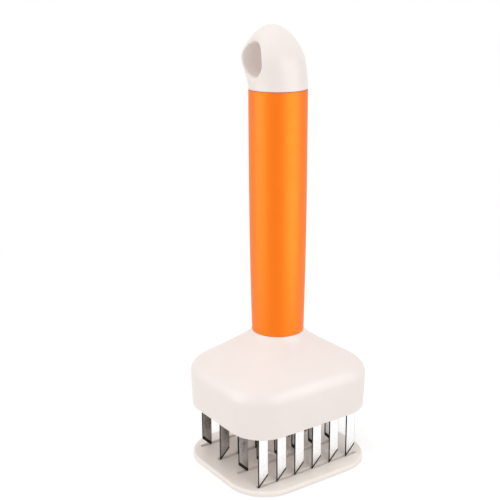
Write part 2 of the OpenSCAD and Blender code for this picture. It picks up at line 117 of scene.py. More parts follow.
# Hanging cap, and the grid that its surface is found on
CAP_HEIGHT = 27.0
CAP_R = 13.5
CAP_LEAN = 3.0
LEAN_HEIGHT = 17.0
CAP_FULLNESS = 1.4
CAP_ROUNDNESS = 0.54
CAP_EDGE_R = 0.45
EYE_HEIGHT = 13.0
EYE_R = 7.0
EYE_LIP_SIDE = 0.8
EYE_LIP_END = 2.6
EYE_LIP_POWER = 4
PLUG_Z = 157.0
PLUG_OVERLAP = 1.0
INSERT_HOLE = (4.55, 165.0)
ROD_HOLE_TOP = 168.0
GRID_LOW = (-18.5, -15.5, 155.1)
GRID_HIGH = (15.5, 15.5, 201.3)
GRID_STEP = 0.4

# Guard plate, its slots, the tube's seat on it and the screw's pocket under it
PLATE_HALF = (35.75, 32.1)
PLATE_CORNER = 19.0
PLATE_CORNER_STEPS = 32
PLATE_EDGE_R = 1.0
PLATE_FOOT_R = 0.35
SLOT_ROWS = (-23.25, -7.75, 7.75, 23.25)
SLOT_HALF = (28.4, 1.0)
SLOT_END_STEPS = 10
SLOT_EDGE_R = 0.25
SEAT_R = 6.2
SEAT_FILLET_R = 0.2
SEAT_EDGE_R = 0.2
SEAT_AROUND = 96
PLATE_BORE_R = 2.1
PLATE_BORE_EDGE = 0.15
POCKET_R = 4.1
POCKET_Z = 1.9
POCKET_EDGE = 0.2

# Blades, their angles in degrees, and how squarely a face looks along Y to count as flat
BLADE_COLUMNS = (-25.0, -15.0, -5.0, 5.0, 15.0, 25.0)
BLADE_W = 5.0
BLADE_T = 0.8
BLADE_TIP = 1.0
BLADE_TOP = 39.4
BLADE_HEAD_W = 6.6
BLADE_HEAD_Z = 37.0
TIP_ANGLE = 45.0
BEVEL_ANGLE = 35.0
BLADE_EDGE = 0.16
# Width of the band of painted shade along the slanted tip
TIP_SHADE_STRIP = 0.85
FLAT_ENOUGH = 0.95

# Return spring: its wire's middle, its turns
SPRING_R = 3.05
SPRING_WIRE_R = 0.35
SPRING_TURNS = 13
SPRING_END_RISE = 1.2
TURN_STEPS = 40
WIRE_SIDES = 12

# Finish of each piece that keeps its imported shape
NODE_FINISHES = {
    "plunger_tube": "cover_white", "spring_seat": "cover_white", "blade_holder": "cover_white",
    "plunger_screw": "fastener_steel", "holder_screws": "fastener_steel",
    "tie_rod": "fastener_steel", "rod_washer": "fastener_steel",
    "blade_clamp": "clamp_steel", "guide_bush": "bush_brass", "cap_insert": "bush_brass",
}

# Floor: half width, share of light it gives back, glow to the camera, fade to the backdrop
FLOOR_HALF = 3.0
FLOOR_DROP = 0.0001
FLOOR_GREY = 0.85
FLOOR_LIFT = 0.3
FLOOR_FADE = (0.14, 0.4)

# Light of the white surroundings, and each lamp's place, target, width and height, and watts
WORLD_LIGHT = 0.78
LAMPS = {
    "front_box": ((0.1, -0.75, 0.5), (0, 0, 0.03), (0.4, 0.5), 1.05),
    "right_panel": ((0.07, -0.187, 0.12), (0, 0, 0.12), (0.22, 0.24), 0.42),
    "left_panel": ((-0.193, 0.052, 0.12), (0, 0, 0.12), (0.2, 0.24), 0.25),
    "side_box": ((-0.8, 0.3, 0.3), (0, 0, 0.08), (0.6, 0.6), 0.9),
    "top_box": ((-0.1, 0.1, 0.95), (0, 0, 0.05), (0.8, 0.8), 1.2),
}
GLOSS_LAMPS = ("right_panel", "left_panel")

# Camera of the photograph, its angles in degrees
CAMERA_PLACE = (-242.45, -330.29, 224.58)
CAMERA_AZIMUTH = -34.54
CAMERA_DOWN = 16.73
CAMERA_ROLL = -0.42
CAMERA_LENS = 68.85
CAMERA_SENSOR = 36.0
CAMERA_NEAR = 10.0


# ---- meshes ----


def linked(name, mesh, sharp):
    """A new piece in the scene, shaded smooth between its sharp edges."""
    mesh.shade_smooth()
    mesh.set_sharp_from_angle(angle=math.radians(sharp))
    piece = bpy.data.objects.new(name, mesh)
    bpy.context.collection.objects.link(piece)
    return piece


def mesh_piece(name, points, faces, sharp=SHARP):
    """A piece from points in millimetres and its faces."""
    mesh = bpy.data.meshes.new(name)
    mesh.from_pydata((np.asarray(points, float) * MM).tolist(), [], faces)
    mesh.validate()
    mesh.update()
    return linked(name, mesh, sharp)


def applied(piece):
    """Makes a piece's modifiers part of its mesh."""
    graph = bpy.context.evaluated_depsgraph_get()
    mesh = bpy.data.meshes.new_from_object(piece.evaluated_get(graph))
    mesh.name = piece.name
    piece.modifiers.clear()
    piece.data = mesh
    return piece


def even_shading(piece):
    """Lets large flat faces keep their own direction beside narrow rounded edges."""
    weigh = piece.modifiers.new("weigh", "WEIGHTED_NORMAL")
    weigh.keep_sharp = True
    return applied(piece)


def join(piece, tool):
    """Makes a second solid part of a piece."""
    change = piece.modifiers.new("change", "BOOLEAN")
    change.object = tool
    change.operation = "UNION"
    change.solver = "EXACT"
    applied(piece)
    bpy.data.objects.remove(tool)


def facing_out(piece, merge=0.0):
    """Turns every face of a closed mesh outwards, once points closer than merge are one."""
    bm = bmesh.new()
    bm.from_mesh(piece.data)
    if merge:
        bmesh.ops.remove_doubles(bm, verts=bm.verts, dist=merge)
    bmesh.ops.recalc_face_normals(bm, faces=bm.faces)
    bm.to_mesh(piece.data)
    bm.free()
    return piece


def strip_faces(rings, count, closed, start=0):
    """Quads between each ring and the next, and from the last to the first if closed."""
    faces = []
    last = rings if closed else rings - 1
    for k in range(last):
        low = start + k * count
        high = start + (k + 1) % rings * count
        for i in range(count):
            j = (i + 1) % count
            faces.append((low + i, low + j, high + j, high + i))
    return faces


def rod_faces(rings, count):
    """Quads between rings that don't close on themselves, and a face over each end."""
    far = (rings - 1) * count
    ends = [tuple(range(count)), tuple(reversed(range(far, far + count)))]
    return strip_faces(rings, count, False) + ends


def around(count, offset=0.0):
    """Evenly spaced angles of one full turn, in radians."""
    return (np.arange(count) + offset) * 2 * math.pi / count


def round_ring(r, z, directions):
    """Points at a height, as far from the axis as r says, for all or for each direction."""
    return np.stack(
        [r * np.cos(directions), r * np.sin(directions), np.full_like(directions, z)], 1
    )


def arc(centre, radius, start, end, steps):
    """Points along an arc, its angles in degrees."""
    angles = np.radians(np.linspace(start, end, steps + 1))
    return [(centre[0] + radius * math.cos(a), centre[1] + radius * math.sin(a)) for a in angles]


def smooth(t):
    """Rises from 0 to 1 with level ends."""
    t = np.clip(t, 0, 1)
    return t * t * (3 - 2 * t)


# ---- head cover ----


def outline_reach(hx, hy, r, direction):
    """Distance from the centre to a rounded rectangle's outline."""
    never, hardly = 1e9, 1e-9
    dx, dy = np.abs(np.cos(direction)), np.abs(np.sin(direction))
    cx, cy = hx - r, hy - r
    along = dx * cx + dy * cy
    corner = along + np.sqrt(np.maximum(along * along - cx * cx - cy * cy + r * r, 0))
    side = np.divide(hx, dx, out=np.full_like(dx, never), where=dx > hardly)
    front = np.divide(hy, dy, out=np.full_like(dy, never), where=dy > hardly)
    reach = np.where(hy * dx <= cx * dy, front, corner)
    return np.where((dx * cy >= 0) & (hx * dy <= cy * dx), side, reach)


def blended_reach(w, inset, directions):
    """Reach of the cover's outline between the round neck (w = 0) and the full head (w = 1)."""
    hx = NECK_R + w * (HEAD_HALF[0] - NECK_R) - inset
    hy = NECK_R + w * (HEAD_HALF[1] - NECK_R) - inset
    r = NECK_R + w * (HEAD_CORNER - NECK_R) - inset
    return outline_reach(hx, hy, r, directions)


def cover_ring(w, z, inset, directions):
    """One ring of the cover at a height, drawn in by an inset."""
    return round_ring(blended_reach(w, inset, directions), z, directions)


def dome_profile():
    """Blend and height of the cover's top, from the shoulder up to the neck."""
    run = float(outline_reach(*HEAD_HALF, HEAD_CORNER, np.array([math.pi / 4]))[0]) - NECK_R
    turn = math.radians(90 - DOME_SLOPE)
    slope_w = 1 - SHOULDER_R * (1 - math.cos(turn)) / run
    slope_z = SHOULDER_Z + SHOULDER_R * math.sin(turn)
    rise = NECK_Z - HOLLOW_H - slope_z

    def height(w):
        hollow = HOLLOW_H * max(0.0, 1 - w / HOLLOW_SHARE) ** 2
        return slope_z + rise * (1 - (w / slope_w) ** DOME_CROWN) + hollow

    steps = [turn * i / SHOULDER_RINGS for i in range(SHOULDER_RINGS)]
    rows = [
        (1 - SHOULDER_R * (1 - math.cos(a)) / run, SHOULDER_Z + SHOULDER_R * math.sin(a))
        for a in steps
    ]
    blends = np.concatenate([
        np.linspace(slope_w, HOLLOW_SHARE, SLOPE_RINGS, endpoint=False),
        np.linspace(HOLLOW_SHARE, 0, HOLLOW_RINGS),
    ])
    return rows + [(float(w), height(float(w))) for w in blends]


def skirt_profile():
    """Height and inset of the upright side, from the shoulder down around the rim."""
    low = RIM_Z + RIM_EDGE_R
    rows = []
    for i in range(1, SKIRT_RINGS + 1):
        t = i / SKIRT_RINGS
        rows.append((SHOULDER_Z + t * (low - SHOULDER_Z), SKIRT_DRAFT * t))
    edge = arc((RIM_EDGE_R, RIM_EDGE_R), RIM_EDGE_R, 180, 270, RIM_EDGE_STEPS)[1:]
    inner = COVER_WALL - RIM_INNER_EDGE_R
    edge += arc((inner, RIM_INNER_EDGE_R), RIM_INNER_EDGE_R, 270, 360, EDGE_STEPS)
    return rows + [(RIM_Z + z, SKIRT_DRAFT + x) for x, z in edge]


def spigot_profile():
    """Radius and height up the rod's hole and the spigot's bore, then down its outside."""
    floor_z = WASHER_Z + SPIGOT_FLOOR
    return [
        (ROD_HOLE_R, WASHER_Z), (ROD_HOLE_R, floor_z), (SPIGOT_BORE_R, floor_z),
        (SPIGOT_BORE_R, SPIGOT_TOP - SPIGOT_BORE_EDGE),
        (SPIGOT_BORE_R + SPIGOT_BORE_EDGE, SPIGOT_TOP),
        (SPIGOT_R - SPIGOT_EDGE, SPIGOT_TOP), (SPIGOT_R, SPIGOT_TOP - SPIGOT_EDGE),
        (SPIGOT_R, NECK_Z),
    ]


def cover_rings(directions):
    """Rings of the cover's skin: spigot, neck, dome and skirt, then the hollow underneath."""
    slope = math.radians(DOME_SLOPE)
    drop = COVER_WALL * (1 - math.sin(slope)) / math.cos(slope)
    dome = dome_profile()
    middle = NECK_R - NECK_EDGE_R, NECK_Z - NECK_EDGE_R
    neck_edge = arc(middle, NECK_EDGE_R, 90, NECK_EDGE_END, EDGE_STEPS)
    rings = [round_ring(r, z, directions) for r, z in spigot_profile() + neck_edge]
    rings += [cover_ring(w, z, 0, directions) for w, z in reversed(dome) if w > NECK_BLEND]
    rings += [cover_ring(1, z, inset, directions) for z, inset in skirt_profile()]
    rings += [cover_ring(1, SHOULDER_Z - drop, COVER_WALL, directions)]
    rings += [cover_ring(w, z - drop, COVER_WALL, directions) for w, z in dome[1:]]
    ceiling = dome[-1][1] - drop
    return rings + [round_ring(SPIGOT_BORE_R, z, directions) for z in (ceiling, WASHER_Z)]


def head_cover():
    """The moulded head with its skirt, domed top, neck, spigot and screw bosses."""
    rings = cover_rings(around(COVER_AROUND, 0.5))
    faces = strip_faces(len(rings), COVER_AROUND, True)
    cover = facing_out(mesh_piece("head_cover_shell", np.concatenate(rings), faces))
    for sx in (-1, 1):
        for sy in (-1, 1):
            join(cover, screw_boss(sx * SCREW_PLACE[0], sy * SCREW_PLACE[1]))
    cover.data.shade_smooth()
    cover.data.set_sharp_from_angle(angle=math.radians(SHARP))
    return even_shading(cover)


def cover_height(x, y):
    """Height of the cover's top over places away from the axis."""
    halvings = 30
    radius, direction = np.hypot(x, y), np.arctan2(y, x)
    low, high = np.zeros_like(radius), np.ones_like(radius)
    for _ in range(halvings):
        w = (low + high) / 2
        inside = blended_reach(w, 0, direction) < radius
        low, high = np.where(inside, w, low), np.where(inside, high, w)
    rows = np.array(dome_profile())[::-1]
    return np.interp(low, rows[:, 0], rows[:, 1])


def screw_boss(x, y):
    """Post with a blind hole that a holder screw bites into, its top inside the cover's wall."""
    directions = around(BOSS_AROUND)
    rows = (
        (BOSS_AXIS_R, SCREW_HOLE_TOP), (SCREW_HOLE_R, SCREW_HOLE_TOP),
        (SCREW_HOLE_R, BOSS_Z + BOSS_EDGE), (SCREW_HOLE_R + BOSS_EDGE, BOSS_Z),
        (BOSS_R - BOSS_EDGE, BOSS_Z), (BOSS_R, BOSS_Z + BOSS_EDGE),
        (BOSS_R, 0), (BOSS_AXIS_R, 0),
    )
    rings = [round_ring(r, z, directions) for r, z in rows]
    for ring in rings:
        ring[:, :2] += (x, y)
    for ring in rings[-2:]:
        ring[:, 2] = cover_height(ring[:, 0], ring[:, 1]) - COVER_WALL / 2
    faces = rod_faces(len(rings), BOSS_AROUND)
    return facing_out(mesh_piece("boss", np.concatenate(rings), faces))


# ---- handle ----


def handle_sleeve():
    """Coloured tube that swells gently towards the cap."""
    low, high = NECK_Z + FIT_GAP, CAP_Z - FIT_GAP
    rows = []
    for t in np.linspace(0, 1, SLEEVE_RINGS):
        drawn = (SLEEVE_R[1] - SLEEVE_R[0]) * (1 - t) ** SLEEVE_SWELL
        rows.append([SLEEVE_R[1] - drawn, low + t * (high - low)])
    rows[0][1] = low + SLEEVE_EDGE
    rows[-1][1] = high - SLEEVE_EDGE
    middle = rows[0][0] - SLEEVE_EDGE, rows[0][1]
    foot = arc(middle, SLEEVE_EDGE, 270, 360 - SLEEVE_EDGE_END, EDGE_STEPS)
    middle = rows[-1][0] - SLEEVE_EDGE, rows[-1][1]
    head = arc(middle, SLEEVE_EDGE, SLEEVE_EDGE_END, 90, EDGE_STEPS)
    bore = [(SLEEVE_BORE_R, high), (SLEEVE_BORE_R, low)]
    directions = around(SLEEVE_AROUND)
    rings = [round_ring(r, z, directions) for r, z in bore + foot + rows + head]
    faces = strip_faces(len(rings), SLEEVE_AROUND, True)
    sleeve = facing_out(mesh_piece("handle_sleeve_tube", np.concatenate(rings), faces))
    return even_shading(sleeve)


def cap_level(x, y, z):
    """Below zero inside the hanging cap, above zero outside, about in millimetres."""
    tiny = 1e-6
    h = z - CAP_Z
    swell = smooth(h / EYE_HEIGHT)
    across = np.sqrt((x + CAP_LEAN * smooth(h / LEAN_HEIGHT)) ** 2 + y * y)
    low_r = SLEEVE_R[1] + (CAP_R - SLEEVE_R[1]) * swell
    t = np.clip((h - EYE_HEIGHT) / (CAP_HEIGHT - EYE_HEIGHT), 0, None)
    power = 1 / CAP_ROUNDNESS
    dome = ((across / CAP_R) ** power + t ** CAP_FULLNESS - 1) * CAP_R / power
    body = np.where(t > 0, dome, across - low_r)
    body = round_both(body, FIT_GAP - h, CAP_EDGE_R)
    from_eye = np.sqrt(y * y + (h - EYE_HEIGHT) ** 2)
    upright = ((h - EYE_HEIGHT) / np.maximum(from_eye, tiny)) ** EYE_LIP_POWER
    lip = EYE_LIP_SIDE + (EYE_LIP_END - EYE_LIP_SIDE) * upright
    body = round_both(body, EYE_R - from_eye, lip)
    r = np.sqrt(x * x + y * y)
    plug = np.maximum(np.maximum(r - SPIGOT_R, PLUG_Z - z), h - PLUG_OVERLAP)
    solid = np.minimum(body, plug)
    solid = np.maximum(solid, np.minimum(INSERT_HOLE[0] - r, INSERT_HOLE[1] - z))
    return np.maximum(solid, np.minimum(ROD_HOLE_R - r, ROD_HOLE_TOP - z))


def round_both(a, b, radius):
    """What lies inside both levels, with the edge between them rounded."""
    near = (a > -radius) & (b > -radius)
    rounded = np.sqrt((a + radius) ** 2 + (b + radius) ** 2) - radius
    return np.where(near, rounded, np.maximum(a, b))


def other_axes(axis):
    """The two axes beside one of the three."""
    return [a for a in range(3) if a != axis]


def cell_crossings(value):
    """Sum of the places where each grid cell's edges cross zero, in cells, and their number."""
    size = np.array(value.shape) - 1
    total = np.zeros((*size, 3))
    hits = np.zeros(size)
    for axis in range(3):
        left, right = other_axes(axis)
        for p, q in ((0, 0), (0, 1), (1, 0), (1, 1)):
            first = [slice(0, -1)] * 3
            first[left] = slice(p, p + size[left])
            first[right] = slice(q, q + size[right])
            second = list(first)
            second[axis] = slice(1, None)
            a, b = value[tuple(first)], value[tuple(second)]
            crossed = (a < 0) != (b < 0)
            place = [None] * 3
            place[axis] = np.where(crossed, a / np.where(crossed, a - b, 1), 0)
            place[left] = np.full(size, float(p))
            place[right] = np.full(size, float(q))
            total += np.stack(place, -1) * crossed[..., None]
            hits += crossed
    return total, hits


def cell_quads(inside, number):
    """One quad around each grid edge that crosses the surface, from its four cells' points."""
    faces = []
    for axis in range(3):
        left, right = other_axes(axis)
        first = [slice(None)] * 3
        first[axis] = slice(0, -1)
        second = [slice(None)] * 3
        second[axis] = slice(1, None)
        for place in np.argwhere(inside[tuple(first)] != inside[tuple(second)]):
            if place[left] == 0 or place[right] == 0:
                continue
            ring = []
            for p, q in ((1, 1), (0, 1), (0, 0), (1, 0)):
                cell = place.copy()
                cell[left] -= p
                cell[right] -= q
                ring.append(int(number[tuple(cell)]))
            faces.append(ring)
    return faces


def level_mesh(level, low, high, step):
    """Points and quads of the surface where a level is zero, one point per crossed cell."""
    axes = [np.arange(a, b + step, step) for a, b in zip(low, high)]
    value = level(*np.meshgrid(*axes, indexing="ij"))
    total, hits = cell_crossings(value)
    cells = np.argwhere(hits > 0)
    crossed = tuple(cells.T)
    number = np.full(hits.shape, -1)
    number[crossed] = np.arange(len(cells))
    inner = total[crossed] / hits[crossed][:, None]
    points = np.array([a[0] for a in axes]) + (cells + inner) * step
    return points, cell_quads(value < 0, number)


def drawn_to_level(points, level):
    """Moves points along the level's slope until they lie on its zero surface."""
    rounds, tiny, longest, least_steep = 6, 0.01, 0.2, 0.05
    for _ in range(rounds):
        x, y, z = points.T
        value = level(x, y, z)
        slope = np.stack([
            level(x + tiny, y, z) - level(x - tiny, y, z),
            level(x, y + tiny, z) - level(x, y - tiny, z),
            level(x, y, z + tiny) - level(x, y, z - tiny),
        ], 1) / (2 * tiny)
        steep = np.maximum((slope ** 2).sum(1), least_steep)
        points = points - slope * (np.clip(value, -longest, longest) / steep)[:, None]
    return points


def hanging_cap():
    """Leaning domed cap with a round eye and softly rounded lips, and its plug below."""
    points, faces = level_mesh(cap_level, GRID_LOW, GRID_HIGH, GRID_STEP)
    points = drawn_to_level(points, cap_level)
    return facing_out(mesh_piece("hanging_cap_body", points, faces, SHARP_ON_CURVES))


# ---- guard plate ----


def rounded_loop(hx, hy, r, steps):
    """Closed outline of a rectangle with round corners, counter-clockwise."""
    loop = []
    for k, (sx, sy) in enumerate(((1, 1), (-1, 1), (-1, -1), (1, -1))):
        loop += arc((sx * (hx - r), sy * (hy - r)), r, 90 * k, 90 * k + 90, steps)
    return loop


def edge_profile(top_r, top_steps, foot_r):
    """Inset and height over the plate's rounded upper edge and down to its lower one."""
    top = arc((top_r, PLATE_TOP - top_r), top_r, 90, 180, top_steps)
    return top + arc((foot_r, foot_r), foot_r, 180, 270, EDGE_STEPS)


def seat_profile():
    """Radius and height from the seat's foot over its top and down the screw's stepped hole."""
    middle = SEAT_R + SEAT_FILLET_R, PLATE_TOP + SEAT_FILLET_R
    foot = arc(middle, SEAT_FILLET_R, 270, 180, SEAT_EDGE_STEPS)
    middle = SEAT_R - SEAT_EDGE_R, SEAT_TOP - SEAT_EDGE_R
    edge = arc(middle, SEAT_EDGE_R, 0, 90, SEAT_EDGE_STEPS)
    bore = [
        (PLATE_BORE_R + PLATE_BORE_EDGE, SEAT_TOP), (PLATE_BORE_R, SEAT_TOP - PLATE_BORE_EDGE),
        (PLATE_BORE_R, POCKET_Z), (POCKET_R, POCKET_Z), (POCKET_R, POCKET_EDGE),
        (POCKET_R + POCKET_EDGE, 0.0),
    ]
    return foot + edge + bore


def outer_wall():
    """Loops of (outline, height) around the plate, from its top face to its foot."""
    hx, hy = PLATE_HALF
    return [
        (rounded_loop(hx - inset, hy - inset, PLATE_CORNER - inset, PLATE_CORNER_STEPS), z)
        for inset, z in edge_profile(PLATE_EDGE_R, PLATE_EDGE_STEPS, PLATE_FOOT_R)
    ]


def slot_wall(row):
    """Loops down through one row's slot, wider at both faces."""
    length, width = SLOT_HALF
    loops = []
    for out, z in edge_profile(SLOT_EDGE_R, EDGE_STEPS, SLOT_EDGE_R):
        loop = rounded_loop(length + out, width + out, width + out, SLOT_END_STEPS)
        loops.append(([(x, y + row) for x, y in loop], z))
    return loops


def seat_wall():
    """Loops over the tube's seat and down through the screw's hole."""
    turn = around(SEAT_AROUND)
    return [
        (list(zip((r * np.cos(turn)).tolist(), (r * np.sin(turn)).tolist())), z)
        for r, z in seat_profile()
    ]


def flat_faces(points, loops):
    """Triangles between an outer loop of point numbers and the loops of the holes in it."""
    outlines = [[Vector(points[i]) for i in loop] for loop in loops]
    flat = [i for loop in loops for i in loop]
    return [tuple(flat[i] for i in triangle) for triangle in tessellate_polygon(outlines)]


def guard_plate():
    """Flat plate with rounded edges, four long slots, the tube's seat and the screw pocket."""
    points, faces = [], []
    tops, bottoms = [], []
    for wall in (outer_wall(), *(slot_wall(row) for row in SLOT_ROWS), seat_wall()):
        start = len(points)
        count = len(wall[0][0])
        for loop, z in wall:
            points.extend((x, y, z) for x, y in loop)
        faces += strip_faces(len(wall), count, False, start)
        tops.append(list(range(start, start + count)))
        bottoms.append(list(range(len(points) - count, len(points))))
    faces += flat_faces(points, tops) + flat_faces(points, bottoms)
    plate = facing_out(mesh_piece("guard_plate_body", points, faces), SAME_PLACE)
    return even_shading(plate)


# ---- blades ----


def everything(bm):
    return bm.verts[:] + bm.edges[:] + bm.faces[:]


def blade_blank():
    """Flat strip with a wider head at its top and square corners, standing at x = y = 0."""
    w, head = BLADE_W / 2, BLADE_HEAD_W / 2
    outline = [
        (-w, BLADE_TIP), (w, BLADE_TIP), (w, BLADE_HEAD_Z), (head, BLADE_HEAD_Z),
        (head, BLADE_TOP), (-head, BLADE_TOP), (-head, BLADE_HEAD_Z), (-w, BLADE_HEAD_Z),
    ]
    bm = bmesh.new()
    front = [bm.verts.new((px, -BLADE_T / 2, pz)) for px, pz in outline]
    back = [bm.verts.new((px, BLADE_T / 2, pz)) for px, pz in outline]
    bm.faces.new(front)
    bm.faces.new(list(reversed(back)))
    count = len(outline)
    for i in range(count):
        j = (i + 1) % count
        bm.faces.new((front[i], back[i], back[j], front[j]))
    return bm


def grind_tip(bm):
    """Cuts the slanted bevel and tells where the band of painted shade along it ends, and on which
    side.
    """
    w = BLADE_W / 2
    tip = Matrix.Rotation(math.radians(-TIP_ANGLE), 3, "Y")
    inward = tip @ Vector((0, 0, 1))
    ground = tip @ Matrix.Rotation(math.radians(-BEVEL_ANGLE), 3, "X") @ Vector((0, 0, 1))
    corner = Vector((-w, BLADE_T / 2, BLADE_TIP))
    cut = bmesh.ops.bisect_plane(
        bm, geom=everything(bm), plane_co=corner, plane_no=ground, clear_inner=True
    )
    edges = [e for e in cut["geom_cut"] if isinstance(e, bmesh.types.BMEdge)]
    bmesh.ops.contextual_create(bm, geom=edges)
    bmesh.ops.recalc_face_normals(bm, faces=bm.faces)
    front_rise = ground.y * BLADE_T / ground.z
    strip_end = Vector((-w, 0, BLADE_TIP + front_rise)) + TIP_SHADE_STRIP * inward
    return strip_end, inward


def mark_dark(bm, strip_end, inward):
    """Eases the edges and gives them and the band along the tip the second material, their painted
    shade.
    """
    bmesh.ops.bevel(
        bm, geom=bm.edges[:], offset=BLADE_EDGE, segments=2, profile=0.5, affect="EDGES"
    )
    bmesh.ops.bisect_plane(bm, geom=everything(bm), plane_co=strip_end, plane_no=inward)
    bmesh.ops.recalc_face_normals(bm, faces=bm.faces)
    for face in bm.faces:
        above = (face.calc_center_median() - strip_end).dot(inward) > 0
        # Slot 1, painted shade, goes on the edges and on the band along the tip
        face.material_index = 0 if above and abs(face.normal.y) > FLAT_ENOUGH else 1


def blade(name, side, x, y):
    """Blade whose tip points down at its left edge (side below zero) or at its right one."""
    bm = blade_blank()
    strip_end, inward = grind_tip(bm)
    mark_dark(bm, strip_end, inward)
    if side > 0:
        bmesh.ops.scale(bm, vec=(-1, 1, 1), verts=bm.verts)
        bmesh.ops.reverse_faces(bm, faces=bm.faces)
    bmesh.ops.translate(bm, vec=(x, y, 0), verts=bm.verts)
    bmesh.ops.scale(bm, vec=(MM, MM, MM), verts=bm.verts)
    bmesh.ops.recalc_face_normals(bm, faces=bm.faces)
    mesh = bpy.data.meshes.new(name)
    bm.to_mesh(mesh)
    bm.free()
    return even_shading(linked(name, mesh, SHARP_ON_CURVES))


# ---- return spring ----


def wire_height(turn):
    """Height of the wire's middle after a number of turns from its lower end."""
    low, high = SPRING_LOW + SPRING_WIRE_R, SPRING_HIGH - SPRING_WIRE_R
    pitch = (high - low - 2 * SPRING_END_RISE) / (SPRING_TURNS - 2)
    if turn < 1:
        return low + turn * SPRING_END_RISE
    if turn > SPRING_TURNS - 1:
        return high - (SPRING_TURNS - turn) * SPRING_END_RISE
    return low + SPRING_END_RISE + (turn - 1) * pitch


def return_spring():
    """Round wire wound as one helix, its end turns close together."""
    rings = SPRING_TURNS * TURN_STEPS + 1
    points = []
    for k in range(rings):
        turn = k / TURN_STEPS
        z = wire_height(turn)
        a = 2 * math.pi * turn
        for j in range(WIRE_SIDES):
            b = 2 * math.pi * j / WIRE_SIDES
            reach = SPRING_R + SPRING_WIRE_R * math.cos(b)
            points.append((reach * math.cos(a), reach * math.sin(a), z + SPRING_WIRE_R * math.sin(b)))
    faces = rod_faces(rings, WIRE_SIDES)
    return facing_out(mesh_piece("return_spring_wire", points, faces, SHARP_ON_CURVES))


# ---- materials ----


def set_inputs(node, **inputs):
    """Sets a node's inputs by their names, written with underscores."""
    for name, value in inputs.items():
        node.inputs[name.replace("_", " ")].default_value = value
    return node


class Shader:
    """A material's node tree with short ways to add to it."""

    def __init__(self, name):
        self.material = bpy.data.materials.new(name)
        self.material.use_nodes = True
        self.nodes = self.material.node_tree.nodes
        self.links = self.material.node_tree.links
        self.main = self.nodes["Principled BSDF"]
        self.place = self.nodes.new("ShaderNodeTexCoord").outputs["Object"]

    def node(self, kind, **inputs):
        return set_inputs(self.nodes.new(kind), **inputs)

    def stretched(self, scale):
        """The object's place, scaled by its own amount along each axis."""
        mapping = self.node("ShaderNodeMapping", Scale=scale)
        self.links.new(self.place, mapping.inputs["Vector"])
        return mapping.outputs["Vector"]

    def noise(self, scale, detail, vector=None):
        node = self.node("ShaderNodeTexNoise", Scale=scale, Detail=detail, Roughness=0.55)
        self.links.new(vector or self.place, node.inputs["Vector"])
        return node.outputs["Fac"]

    def spread(self, value, low, high):
        """A value between 0.3 and 0.7 stretched to run from low to high."""
        node = self.node(
            "ShaderNodeMapRange", From_Min=0.3, From_Max=0.7, To_Min=low, To_Max=high
        )
        self.links.new(value, node.inputs["Value"])
        return node.outputs["Result"]

    def mottled(self, value, dark, light):
        """Colour that runs from dark to light while a value runs from 0.3 to 0.7."""
        return self.ramp(value, [(0.3, dark), (0.7, light)])

    def ramp(self, value, stops):
        node = self.node("ShaderNodeValToRGB")
        for point, (place, colour) in zip(node.color_ramp.elements, stops):
            point.position = place
            point.color = (*colour, 1)
        self.links.new(value, node.inputs["Fac"])
        return node.outputs["Color"]

    def bump(self, value, depth, below=None):
        """Raises the surface by up to a depth in metres."""
        node = self.node("ShaderNodeBump", Strength=1.0, Distance=depth)
        self.links.new(value, node.inputs["Height"])
        if below:
            self.links.new(below, node.inputs["Normal"])
        return node.outputs["Normal"]

    def openness_for_painted_shade(self, reach):
        """How far a place lies open: 1 where nothing stands within reach, less inside gaps."""
        node = self.node("ShaderNodeAmbientOcclusion", Distance=reach)
        node.samples = 8
        return node.outputs["AO"]

    def to(self, socket, value):
        self.links.new(value, self.main.inputs[socket])

    def set(self, **inputs):
        set_inputs(self.main, **inputs)


def moulded(name, light, dark):
    """Satin moulded plastic with faint cloudiness, a fine grain and uneven gloss."""
    s = Shader(name)
    s.to("Base Color", s.mottled(s.noise(45, 4), dark, light))
    s.to("Roughness", s.spread(s.noise(260, 5), 0.31, 0.43))
    flow = s.bump(s.noise(90, 2), 0.00003)
    s.to("Normal", s.bump(s.noise(2600, 2), 0.0000025, flow))
    s.set(IOR=1.5, Specular_IOR_Level=0.32)
    return s.material


def pearly(name, light, dark, tint):
    """Warm plastic whose reflections keep a tint of their own, as a pearly paint has."""
    s = Shader(name)
    s.to("Base Color", s.mottled(s.noise(60, 3), dark, light))
    s.to("Roughness", s.spread(s.noise(260, 5), 0.38, 0.47))
    flow = s.bump(s.noise(70, 2), 0.00002)
    s.to("Normal", s.bump(s.noise(2600, 2), 0.0000015, flow))
    s.set(IOR=2.0, Specular_IOR_Level=0.8, Specular_Tint=(*tint, 1.0))
    return s.material


def rolled_steel(name, light, dark):
    """Strip steel with fine grinding lines along its length, its colour darkened by painted shade
    between the rows.
    """
    s = Shader(name)
    lines = s.noise(1.0, 3, vector=s.stretched((9000, 9000, 220)))
    # Painted shade: the base colour runs to the dark colour where little lies open, as between the
    # rows of blades
    s.to("Base Color", s.ramp(s.openness_for_painted_shade(0.02), [(0.5, dark), (0.7, light)]))
    s.to("Roughness", s.spread(lines, 0.21, 0.34))
    s.to("Normal", s.bump(lines, 0.0000012))
    s.set(Metallic=1.0)
    return s.material


def painted_edge_shade(name, light, dark):
    """Near-black, dull colour on the strip's edges and tip band: painted shade for the shade and dark
    reflections there.
    """
    s = Shader(name)
    s.to("Base Color", s.mottled(s.noise(900, 4), dark, light))
    s.to("Roughness", s.spread(s.noise(2000, 3), 0.5, 0.65))
    s.to("Normal", s.bump(s.noise(5000, 2), 0.000002))
    s.set(Specular_IOR_Level=0.15)
    return s.material


def turned_metal(name, light, dark, rough):
    """Machined or plated metal with faint rings and spots."""
    s = Shader(name)
    rings = s.noise(1.0, 3, vector=s.stretched((600, 600, 7000)))
    s.to("Base Color", s.mottled(s.noise(700, 4), dark, light))
    s.to("Roughness", s.spread(rings, rough - 0.06, rough + 0.1))
    s.to("Normal", s.bump(rings, 0.000003))
    s.set(Metallic=1.0)
    return s.material


